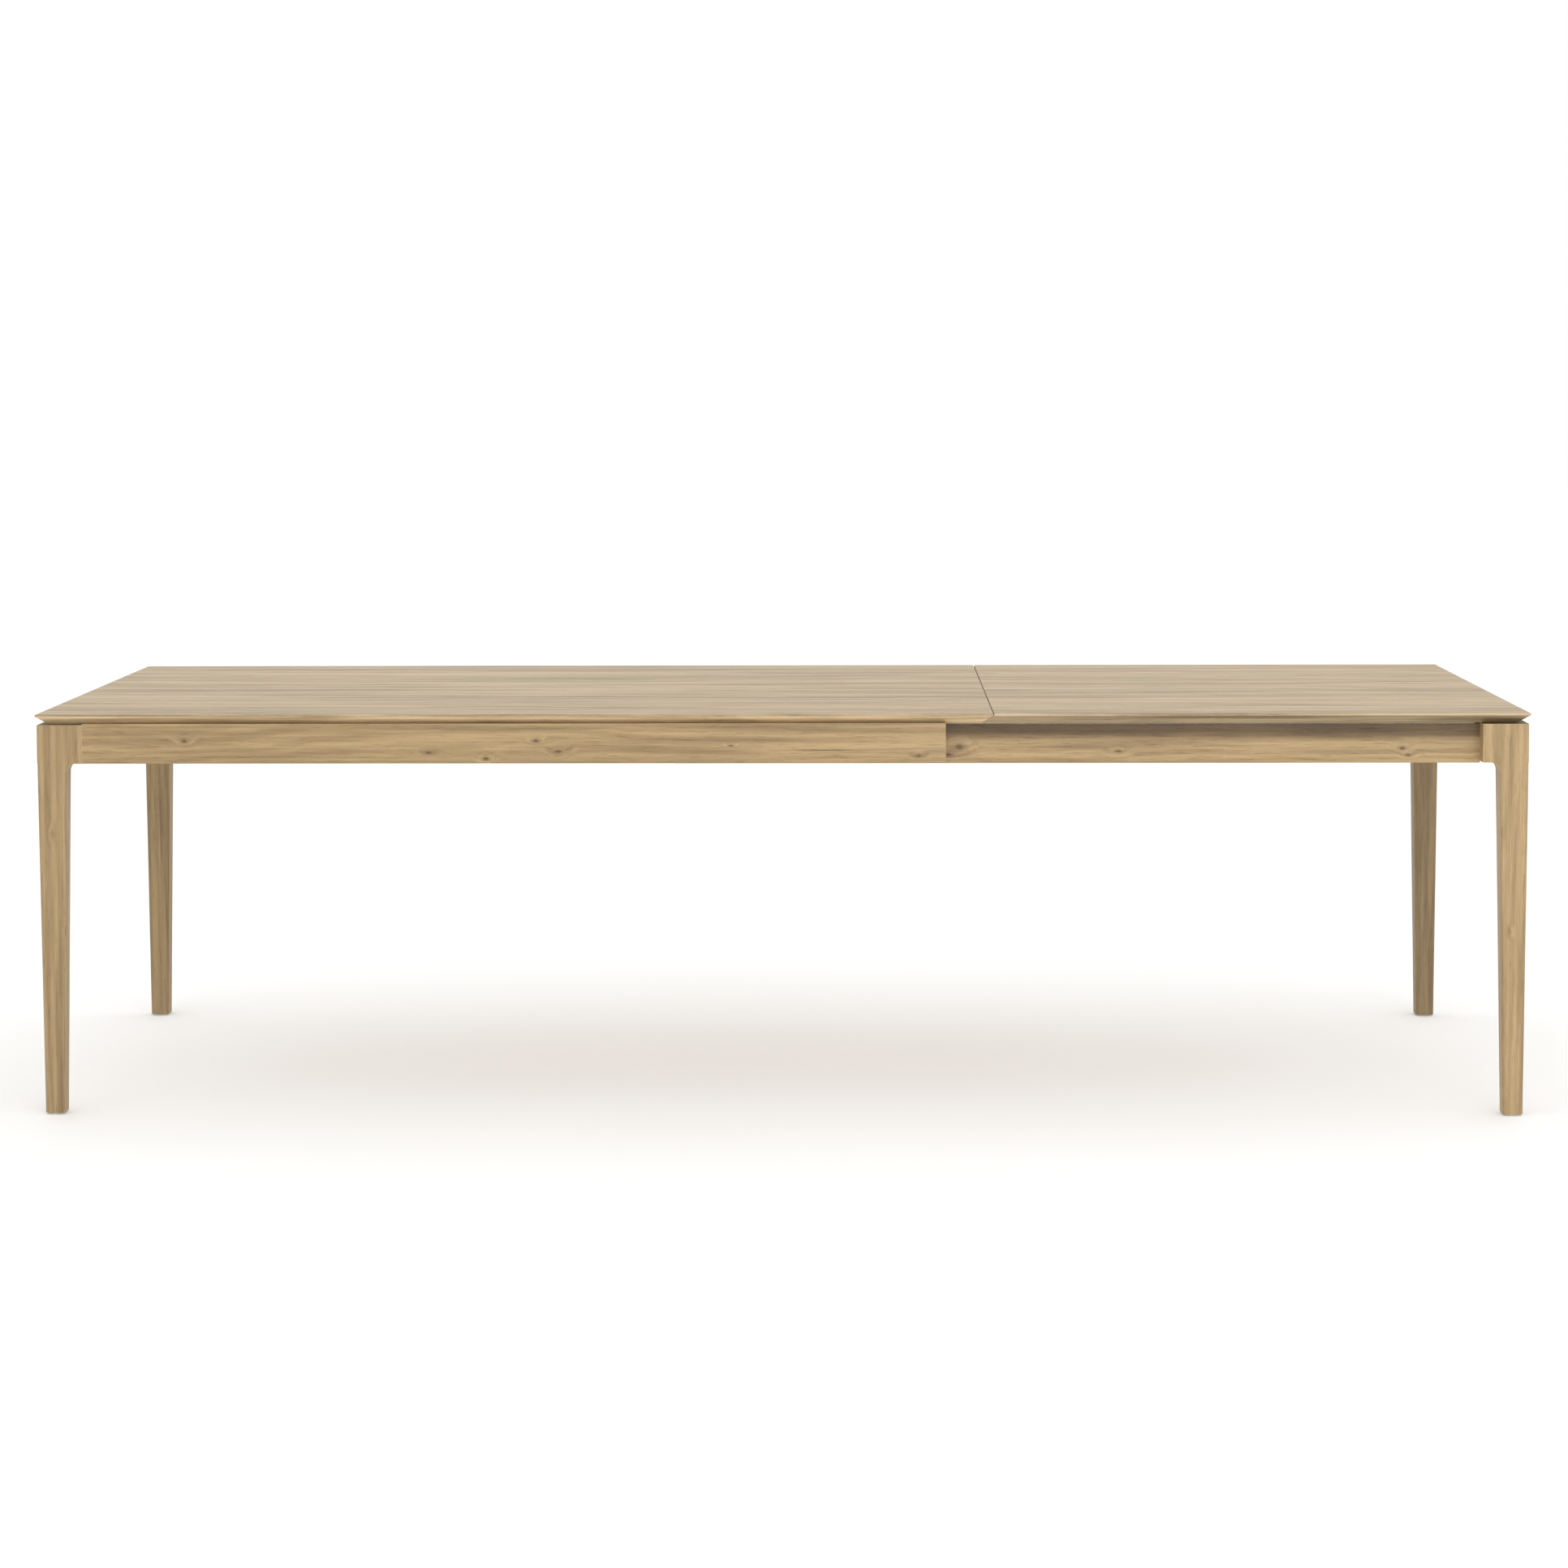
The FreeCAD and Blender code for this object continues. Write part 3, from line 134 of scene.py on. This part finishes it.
class Surface:
    """A material under construction, with short calls for the nodes it uses."""

    def __init__(self, name):
        self.material = bpy.data.materials.new(name)
        self.material.use_nodes = True
        self.nodes = self.material.node_tree.nodes
        self.shader = self.nodes["Principled BSDF"]

    def add(self, kind, **settings):
        """A node with its settings."""
        node = self.nodes.new(kind)
        for key, value in settings.items():
            setattr(node, key, value)
        return node

    def feed(self, socket, value):
        """Link a socket to a node's output, or set it to a constant."""
        if isinstance(value, bpy.types.NodeSocket):
            self.material.node_tree.links.new(value, socket)
        elif value is not None:
            socket.default_value = value

    def math(self, operation, first, second=None, third=None):
        """A Math node."""
        node = self.add("ShaderNodeMath", operation=operation)
        for socket, value in zip(node.inputs, (first, second, third)):
            self.feed(socket, value)
        return node.outputs[0]

    def vector_math(self, operation, first, second=None):
        """A Vector Math node."""
        node = self.add("ShaderNodeVectorMath", operation=operation)
        self.feed(node.inputs[0], first)
        self.feed(node.inputs[1], second)
        return node.outputs["Value" if operation in ("LENGTH", "DOT_PRODUCT") else "Vector"]

    def combine(self, x, y, z):
        """A vector from three numbers."""
        node = self.add("ShaderNodeCombineXYZ")
        for socket, value in zip(node.inputs, (x, y, z)):
            self.feed(socket, value)
        return node.outputs[0]

    def separate(self, vector):
        """The three numbers of a vector."""
        node = self.add("ShaderNodeSeparateXYZ")
        self.feed(node.inputs[0], vector)
        return list(node.outputs)

    def object_vector(self):
        """A point of the surface in the frame's axes, at rest."""
        return self.add("ShaderNodeTexCoord").outputs["Object"]

    def object_normal(self):
        """The surface's own normal in the frame's axes."""
        return self.add("ShaderNodeTexCoord").outputs["Normal"]

    def noise(self, vector, scale, detail=4, roughness=0.5, distortion=0.0):
        """A noise texture's value."""
        node = self.add("ShaderNodeTexNoise")
        inputs = {"Vector": vector, "Scale": scale, "Detail": detail, "Roughness": roughness,
                  "Distortion": distortion}
        for name, value in inputs.items():
            self.feed(node.inputs[name], value)
        return node.outputs["Fac"]

    def stretch(self, vector, factors):
        """A vector scaled along each axis."""
        return self.vector_math("MULTIPLY", vector, factors)

    def between(self, value, low, high, to_low=0.0, to_high=1.0):
        """A value carried smoothly from one range to another."""
        node = self.add("ShaderNodeMapRange", interpolation_type="SMOOTHSTEP")
        for socket, item in zip(node.inputs, (value, low, high, to_low, to_high)):
            self.feed(socket, item)
        return node.outputs[0]

    def ramp(self, value, *stops):
        """A colour ramp through (place, colour) stops."""
        node = self.add("ShaderNodeValToRGB")
        elements = node.color_ramp.elements
        while len(elements) < len(stops):
            elements.new(0.5)
        for element, (place, colour) in zip(elements, stops):
            element.position = place
            element.color = colour
        self.feed(node.inputs[0], value)
        return node.outputs[0]

    def mix(self, amount, first, second, blend="MIX"):
        """A blend of two colours."""
        node = self.add("ShaderNodeMix", data_type="RGBA", blend_type=blend)
        self.feed(node.inputs[0], amount)
        self.feed(node.inputs[6], first)
        self.feed(node.inputs[7], second)
        return node.outputs[2]

    def finish(self, colour, roughness, height=None, depth=0.0, metallic=0.0):
        """Link colour, roughness and bump to the shader."""
        self.feed(self.shader.inputs["Base Color"], colour)
        self.feed(self.shader.inputs["Roughness"], roughness)
        self.shader.inputs["Metallic"].default_value = metallic
        if height is not None:
            bump = self.add("ShaderNodeBump")
            bump.inputs["Strength"].default_value = BUMP_STRENGTH
            bump.inputs["Distance"].default_value = depth
            self.feed(bump.inputs["Height"], height)
            self.feed(self.shader.inputs["Normal"], bump.outputs[0])


# ---------------------------------------------------------------- oak

# Noise scales per metre: along the fibres, then across them twice.
DRIFT_SCALE = (0.9, 4.5, 4.5)
BROAD_SCALE = (1.1, 16, 16)
STREAK_SCALE = (1.6, 62, 62)
FINE_SCALE = (5.0, 190, 190)
PORE_SCALE = (28, 780, 780)
KNOT_SCALE = (70, 260, 260)
END_GRAIN_SCALE = (420, 420, 420)

# What each pattern adds to the figure, from 0 for light oak to 1 for dark.
BROAD_WEIGHT = 0.50
RING_WEIGHT = 0.14
STREAK_WEIGHT = 0.40
FINE_WEIGHT = 0.90
FIGURE_MEAN = (BROAD_WEIGHT + RING_WEIGHT + STREAK_WEIGHT + FINE_WEIGHT) / 2
FIGURE_STOPS = (0.18, 0.52, 0.95)

RING_DRIFT = 0.16            # metres that the growth rings wander
RING_PITCH = 330             # radians per metre
STREAK_EDGE = (0.38, 0.68)
PORE_EDGE = (0.60, 0.70)
PORE_MIX = 0.55
PORE_DARK = (0.60, 0.53, 0.45, 1)

STAVE_SHIFT = (7.3, 3.1)     # how far each stave's pattern is moved, along and into the board
STAVE_TONES = ((0.0, (0.90, 0.89, 0.88, 1)), (0.5, WHITE), (1.0, (1.05, 1.04, 1.02, 1)))

# Knots, in radii of the knot.
KNOT_WOBBLE = 0.9
KNOT_CORE_EDGE = (0.35, 1.0)
KNOT_RING_EDGE = (0.8, 2.1)
KNOT_REACH = 4.5
KNOT_BEND = 2.2
KNOT_CORE = (0.070, 0.040, 0.018, 1)
KNOT_RING = (0.20, 0.125, 0.060, 1)
KNOT_CORE_MIX = 0.72
KNOT_RING_MIX = 0.45

# Painted shade under the leaf's overhang: the upper band of each inner apron is darkened by this colour,
# along a wavy, soft edge.
OVERHANG_PAINTED_SHADE = (0.30, 0.26, 0.20, 1)
PAINTED_SHADE_WAVE = 0.016           # height of the waves in the painted shade's edge
PAINTED_SHADE_WAVE_SCALE = 5.0
PAINTED_SHADE_EDGE = (0.013, 0.012)  # softness below and above its level

# Where a normal's Z counts as a bevel's, between a side's and the flat underside's, for the painted light
# and painted shade on the bevels.
BEVEL_FROM_SIDE = (-0.9, -0.4)
BEVEL_FROM_UNDER = (-0.99, -0.92)
MAIN_BEVEL_PAINTED_LIGHT = 1.55            # painted light on the main top's bevel and painted shade on the leaf's bevel, as a tone against the panel's top face
LEAF_BEVEL_PAINTED_SHADE = 0.72

END_GRAIN_FACING = (0.75, 0.95)
END_GRAIN_DARK = 0.62

# Edges lightened, partly as real wear and partly as a painted highlight along the arrises.
WEAR_HIGHLIGHT_RADIUS = 0.0015
WEAR_HIGHLIGHT_MIX = 0.80
WEAR_HIGHLIGHT_NOISE = 35.0
TOP_WEAR_HIGHLIGHT = 1.65              # tone of a worn edge with its painted highlight, against the light oak
BODY_WEAR_HIGHLIGHT = 1.25
OAK_BUMP = 0.0004
OAK_SPECULAR = 0.45


def tinted(colour, factor):
    """A colour made lighter or darker, kept below white."""
    return tuple(min(1.0, part * factor) for part in colour[:3]) + (1,)


def knot_fields(surface, here, order, knots):
    """How far the grain bends, and how much core and ring there is, for all knots together. Each
    is None where there are no knots."""
    bend = None
    core = None
    ring = None
    for knot in knots:
        radius, length = knot[3:]
        offset = surface.vector_math("SUBTRACT", here, [knot[axis] for axis in order])
        squeezed = surface.stretch(offset, (1 / (radius * length), 1 / radius, 1 / radius))
        distance = surface.vector_math("LENGTH", squeezed)
        rough = surface.noise(surface.stretch(here, KNOT_SCALE), 1.0, 4)
        wavy = surface.math(
            "MULTIPLY_ADD", rough, KNOT_WOBBLE, surface.math("SUBTRACT", distance, KNOT_WOBBLE / 2))
        spot = surface.between(wavy, *KNOT_CORE_EDGE, 1.0, 0.0)
        halo = surface.between(wavy, *KNOT_RING_EDGE, 1.0, 0.0)
        swirl = surface.between(distance, 0.0, KNOT_REACH, radius * KNOT_BEND, 0.0)
        bend = swirl if bend is None else surface.math("ADD", bend, swirl)
        core = spot if core is None else surface.math("MAXIMUM", core, spot)
        ring = halo if ring is None else surface.math("MAXIMUM", ring, halo)
    return bend, core, ring


def figure_of(surface, fibre_point, across, deep, fine, contrast):
    """The oak's figure, as how dark each point is."""
    drift = surface.noise(surface.stretch(fibre_point, DRIFT_SCALE), 1.0, 3, 0.55)
    ring_place = surface.math("MULTIPLY_ADD", drift, RING_DRIFT, surface.math("ADD", across, deep))
    rings = surface.math("SINE", surface.math("MULTIPLY", ring_place, RING_PITCH))
    rings = surface.between(rings, -0.6, 1.0)
    broad = surface.noise(surface.stretch(fibre_point, BROAD_SCALE), 1.0, 5, 0.6, 0.35)
    streak = surface.noise(surface.stretch(fibre_point, STREAK_SCALE), 1.0, 4, 0.6)
    streak = surface.between(streak, *STREAK_EDGE)
    figure = surface.math("MULTIPLY", broad, BROAD_WEIGHT * contrast)
    figure = surface.math("MULTIPLY_ADD", rings, RING_WEIGHT * contrast, figure)
    figure = surface.math("MULTIPLY_ADD", streak, STREAK_WEIGHT * contrast, figure)
    figure = surface.math("MULTIPLY_ADD", fine, FINE_WEIGHT * contrast, figure)
    return surface.math("ADD", figure, 0.5 - FIGURE_MEAN * contrast)


def oak(name, grain, light, dark, stave=0.0, seed=0.0, knots=(), contrast=1.0, painted_shade_level=None,
        bevel=None):
    """Oiled oak. grain is the axis that the fibres follow; light and dark are its two tones;
    stave is the width of the glued strips across the board; knots are (x, y, z, radius, length
    over width); the painted shade level is the height above which the board is darkened with painted
    shade, the shade under the overhang; bevel is the factor of painted light or painted shade on the faces
    that slope downwards."""
    surface = Surface(name)
    point = surface.object_vector()
    axes = surface.separate(point)
    order = [grain] + [axis for axis in (0, 1, 2) if axis != grain]
    along, across, deep = (axes[axis] for axis in order)

    bend, core, ring = knot_fields(surface, surface.combine(along, across, deep), order, knots)
    if knots:
        across = surface.math("ADD", across, bend)
        deep = surface.math("ADD", deep, bend)

    tone = None
    if stave:
        strip = surface.math("FLOOR", surface.math("DIVIDE", surface.math("ADD", across, seed), stave))
        picker = surface.add("ShaderNodeTexWhiteNoise", noise_dimensions="1D")
        surface.feed(picker.inputs["W"], surface.math("ADD", strip, seed * 13 + 0.5))
        tone = picker.outputs["Value"]
        along = surface.math("MULTIPLY_ADD", tone, STAVE_SHIFT[0], along)
        deep = surface.math("MULTIPLY_ADD", tone, STAVE_SHIFT[1], deep)
    fibre_point = surface.combine(surface.math("ADD", along, seed), across, deep)
    fine = surface.noise(surface.stretch(fibre_point, FINE_SCALE), 1.0, 5, 0.65)
    pores = surface.noise(surface.stretch(fibre_point, PORE_SCALE), 1.0, 2, 0.5)
    pore_mask = surface.between(pores, *PORE_EDGE)

    middle = tuple((a + b) / 2 for a, b in zip(light, dark))
    figure = figure_of(surface, fibre_point, across, deep, fine, contrast)
    colour = surface.ramp(figure, *zip(FIGURE_STOPS, (light, middle, dark)))
    if stave:
        colour = surface.mix(1.0, colour, surface.ramp(tone, *STAVE_TONES), "MULTIPLY")
    colour = surface.mix(surface.math("MULTIPLY", pore_mask, PORE_MIX), colour,
                         surface.mix(1.0, colour, PORE_DARK, "MULTIPLY"))
    if knots:
        colour = surface.mix(surface.math("MULTIPLY", ring, KNOT_RING_MIX), colour, KNOT_RING)
        colour = surface.mix(surface.math("MULTIPLY", core, KNOT_CORE_MIX), colour, KNOT_CORE)
    # Painted shade: above the given level the board is darkened, as the shade under the overhang.
    if painted_shade_level is not None:
        place = surface.combine(surface.math("MULTIPLY", axes[0], PAINTED_SHADE_WAVE_SCALE), seed, 0.0)
        wave = surface.noise(place, 1.0, 2)
        level = surface.math(
            "MULTIPLY_ADD", wave, PAINTED_SHADE_WAVE, surface.math("ADD", axes[2], -PAINTED_SHADE_WAVE / 2))
        painted_shade_mask = surface.between(level, painted_shade_level - PAINTED_SHADE_EDGE[0], painted_shade_level + PAINTED_SHADE_EDGE[1])
        colour = surface.mix(painted_shade_mask, colour, surface.mix(1.0, colour, OVERHANG_PAINTED_SHADE, "MULTIPLY"))

    normals = surface.separate(surface.object_normal())
    # Painted light or painted shade on the bevels: faces that slope downwards are lightened or darkened by
    # the bevel factor.
    if bevel is not None:
        bevel_paint_mask = surface.between(normals[2], *BEVEL_FROM_SIDE, 1.0, 0.0)
        bevel_paint_mask = surface.math("MULTIPLY", bevel_paint_mask, surface.between(normals[2], *BEVEL_FROM_UNDER))
        bevel_painted_tone = surface.mix(1.0, colour, (bevel, bevel, bevel, 1), "MULTIPLY")
        colour = surface.mix(bevel_paint_mask, colour, bevel_painted_tone)
    end_mask = surface.between(surface.math("ABSOLUTE", normals[grain]), *END_GRAIN_FACING)
    end_dots = surface.noise(surface.stretch(point, END_GRAIN_SCALE), 1.0, 2)
    end_tone = surface.ramp(end_dots, (0.35, tinted(dark, END_GRAIN_DARK)), (0.7, dark))
    colour = surface.mix(end_mask, colour, end_tone)

    # Wear and painted highlight: edges are lightened partly as real wear, partly as the light they catch.
    wear_and_highlight = edge_wear_and_highlight(surface)
    wear_highlight_tone = tinted(light, TOP_WEAR_HIGHLIGHT if stave else BODY_WEAR_HIGHLIGHT)
    colour = surface.mix(surface.math("MULTIPLY", wear_and_highlight, WEAR_HIGHLIGHT_MIX), colour, wear_highlight_tone)
    roughness = surface.math("MULTIPLY_ADD", fine, 0.20, 0.40)
    roughness = surface.math("MULTIPLY_ADD", wear_and_highlight, -0.08, roughness)
    height = surface.math("MULTIPLY_ADD", pore_mask, -0.8, surface.math("MULTIPLY", fine, 0.5))
    surface.finish(colour, roughness, height, OAK_BUMP)
    surface.shader.inputs["Specular IOR Level"].default_value = OAK_SPECULAR
    return surface.material


def edge_wear_and_highlight(surface):
    """How near the surface is to a rounded-over edge, from 0 to 1, broken up by noise."""
    rounded = surface.add("ShaderNodeBevel", samples=4)
    rounded.inputs["Radius"].default_value = WEAR_HIGHLIGHT_RADIUS
    flat = surface.add("ShaderNodeNewGeometry").outputs["Normal"]
    same = surface.vector_math("DOT_PRODUCT", rounded.outputs[0], flat)
    patchy = surface.noise(surface.object_vector(), WEAR_HIGHLIGHT_NOISE, 3)
    edge = surface.between(same, 0.80, 0.995, 1.0, 0.0)
    return surface.math("MULTIPLY", edge, surface.between(patchy, 0.3, 0.65, 0.35, 1.0))


# ---------------------------------------------------------------- hardware materials

HARDWARE_BUMP = 0.0001
METAL_PATCH_SCALE = 22.0
PLASTIC_SPECKLE_SCALE = 900.0
PLASTIC_RUB_SCALE = (8, 90, 90)


def metal(name, light, dark, roughness, scratch):
    """Plated or anodised metal with fine drawing lines and a few dull patches."""
    surface = Surface(name)
    point = surface.object_vector()
    lines = surface.noise(surface.stretch(point, scratch), 1.0, 4, 0.6)
    patches = surface.noise(point, METAL_PATCH_SCALE, 4)
    blend = surface.math("MULTIPLY_ADD", lines, 0.4, surface.math("MULTIPLY", patches, 0.6))
    colour = surface.ramp(blend, (0.3, dark), (0.7, light))
    rough = surface.math("MULTIPLY_ADD", patches, 0.22, roughness)
    surface.finish(colour, rough, lines, HARDWARE_BUMP, metallic=1.0)
    return surface.material


def plastic(name, light, dark):
    """Moulded nylon, slightly grained and rubbed."""
    surface = Surface(name)
    point = surface.object_vector()
    speckle = surface.noise(point, PLASTIC_SPECKLE_SCALE, 2)
    rubbed = surface.noise(surface.stretch(point, PLASTIC_RUB_SCALE), 1.0, 4)
    colour = surface.ramp(rubbed, (0.3, dark), (0.7, light))
    rough = surface.math("MULTIPLY_ADD", rubbed, 0.25, 0.38)
    surface.finish(colour, rough, speckle, HARDWARE_BUMP)
    return surface.material


# ---------------------------------------------------------------- where each material goes

TOP_LIGHT = (0.560, 0.430, 0.262, 1)
TOP_DARK = (0.290, 0.205, 0.105, 1)
BODY_LIGHT = (0.455, 0.318, 0.156, 1)
BODY_DARK = (0.225, 0.147, 0.066, 1)
# Painted shade on three legs, as a tone against the front right leg: the back legs, in the table's shade,
# are darkest.
LEG_PAINTED_SHADE = {"leg_front_left": 0.93, "leg_back_left": 0.80, "leg_back_right": 0.66}
STAVE_WIDTH = 0.098
TOP_CONTRAST = 1.7
SEED_STEP = 0.37             # keeps the boards from repeating each other
PAINTED_SHADE_RISE = 0.68            # level of the painted shade on an inner apron, as a fraction of its height


# Knots on the long aprons: fraction along the visible face, fraction up, radius in metres, and
# length over width. The very long one is a dark line in the grain.
OUTER_KNOTS = (
    (0.119, 0.57, 0.0040, 1.9), (0.403, 0.28, 0.0034, 2.2), (0.469, 0.12, 0.0036, 2.0),
    (0.527, 0.57, 0.0036, 2.0), (0.553, 0.30, 0.0042, 2.2), (0.752, 0.44, 0.0018, 3.0),
    (0.858, 0.33, 0.0011, 55.0), (0.969, 0.19, 0.0028, 2.2))
INNER_KNOTS = (
    (0.026, 0.42, 0.0058, 1.8), (0.006, 0.22, 0.0036, 2.0), (0.324, 0.30, 0.0036, 2.4),
    (0.855, 0.37, 0.0034, 2.0), (0.866, 0.20, 0.0030, 2.0))

# Knots on the legs: metres from the middle, fraction up, radius, length over width.
LEG_KNOTS = ((-0.016, 0.72, 0.0030, 2.0), (0.010, 0.47, 0.0026, 2.0))
LEG_KNOT_DEPTH = 0.004


def face_knots(node, start, end, front, places):
    """Knots on a long face of a node, from start to end along X."""
    low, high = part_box(node)
    y = low.y if front else high.y
    return [
        (start + (end - start) * part, y, low.z + (high.z - low.z) * rise, radius, length)
        for part, rise, radius, length in places]


def outer_knots(node, front):
    """Knots of an outer apron, between the left leg and the apron's free end."""
    return face_knots(node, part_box("leg_front_left")[1].x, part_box(node)[1].x, front, OUTER_KNOTS)


def inner_knots(node, front):
    """Knots of an inner apron, between the outer apron's end and the right leg."""
    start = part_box(node.replace("inner", "outer"))[1].x
    return face_knots(node, start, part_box("leg_front_right")[0].x, front, INNER_KNOTS)


def leg_knots(node, front):
    """Two small knots near a leg's outer face."""
    low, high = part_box(node)
    y = low.y + LEG_KNOT_DEPTH if front else high.y - LEG_KNOT_DEPTH
    return [
        ((low.x + high.x) / 2 + aside, y, low.z + (high.z - low.z) * rise, radius, length)
        for aside, rise, radius, length in LEG_KNOTS]


def wood_for(node, seed):
    """The oak of one wooden node, with its own cut and knots."""
    front = "front" in node
    slot = RECORD_SLOTS[node]
    if slot == "oak_top":
        # The main top's bevel gets painted light and the leaf's bevel gets painted shade.
        bevel = LEAF_BEVEL_PAINTED_SHADE if node.startswith("leaf") else MAIN_BEVEL_PAINTED_LIGHT
        return oak(
            node, 0, TOP_LIGHT, TOP_DARK, STAVE_WIDTH, seed, contrast=TOP_CONTRAST, bevel=bevel)
    if slot == "oak_leg":
        # The leg's oak is darkened as painted shade, by its own factor.
        light, dark = (tinted(colour, LEG_PAINTED_SHADE.get(node, 1.0)) for colour in (BODY_LIGHT, BODY_DARK))
        return oak(node, 2, light, dark, 0.0, seed, leg_knots(node, front))
    if node.endswith("_outer"):
        return oak(node, 0, BODY_LIGHT, BODY_DARK, 0.0, seed, outer_knots(node, front))
    if node.endswith("_inner"):
        # The painted shade on an inner apron begins this far up the board.
        low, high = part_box(node)
        painted_shade_level = low.z + (high.z - low.z) * PAINTED_SHADE_RISE
        return oak(
            node, 0, BODY_LIGHT, BODY_DARK, 0.0, seed, inner_knots(node, front), painted_shade_level=painted_shade_level)
    return oak(node, 1, BODY_LIGHT, BODY_DARK, 0.0, seed)


def hardware_materials():
    """The shared materials of the fittings, by record slot."""
    return {
        "steel": metal("steel", (0.62, 0.63, 0.64, 1), (0.42, 0.43, 0.45, 1), 0.28, (30, 900, 900)),
        "aluminium": metal("aluminium", (0.74, 0.75, 0.76, 1), (0.60, 0.61, 0.62, 1), 0.30, (12, 700, 700)),
        "nylon": plastic("nylon", (0.72, 0.71, 0.66, 1), (0.58, 0.57, 0.52, 1)),
        "beech": oak("beech", 0, (0.62, 0.44, 0.28, 1), (0.48, 0.31, 0.18, 1), 0.0, 2.7)}


EDGE_ROUNDING = {"oak_top": 0.0006, "oak_leg": 0.0022, "oak_apron": 0.0010, "oak_hidden": 0.0010,
                 "nylon": 0.0005, "steel": 0.0003, "aluminium": 0.0003, "beech": 0.0006}
EDGE_SEGMENTS = 2
EDGE_ANGLE = 38              # degrees; sharper edges are rounded


def round_edges(item, width):
    """Round a node's sharp edges a little, so that they catch the light."""
    bevel = item.modifiers.new("eased_edges", "BEVEL")
    bevel.width = width
    bevel.segments = EDGE_SEGMENTS
    bevel.limit_method = "ANGLE"
    bevel.angle_limit = math.radians(EDGE_ANGLE)
    bevel.use_clamp_overlap = True
    bevel.harden_normals = False


def dress_nodes():
    """Give every CAD node its material and eased edges."""
    shared = hardware_materials()
    for number, node in enumerate(sorted(frame["nodes"])):
        item = frame["nodes"][node]
        slot = RECORD_SLOTS[node]
        material = shared.get(slot) or wood_for(node, SEED_STEP * number)
        for holder in item.material_slots:
            holder.material = material
        round_edges(item, EDGE_ROUNDING[slot])


make_camera()
make_studio()
dress_nodes()
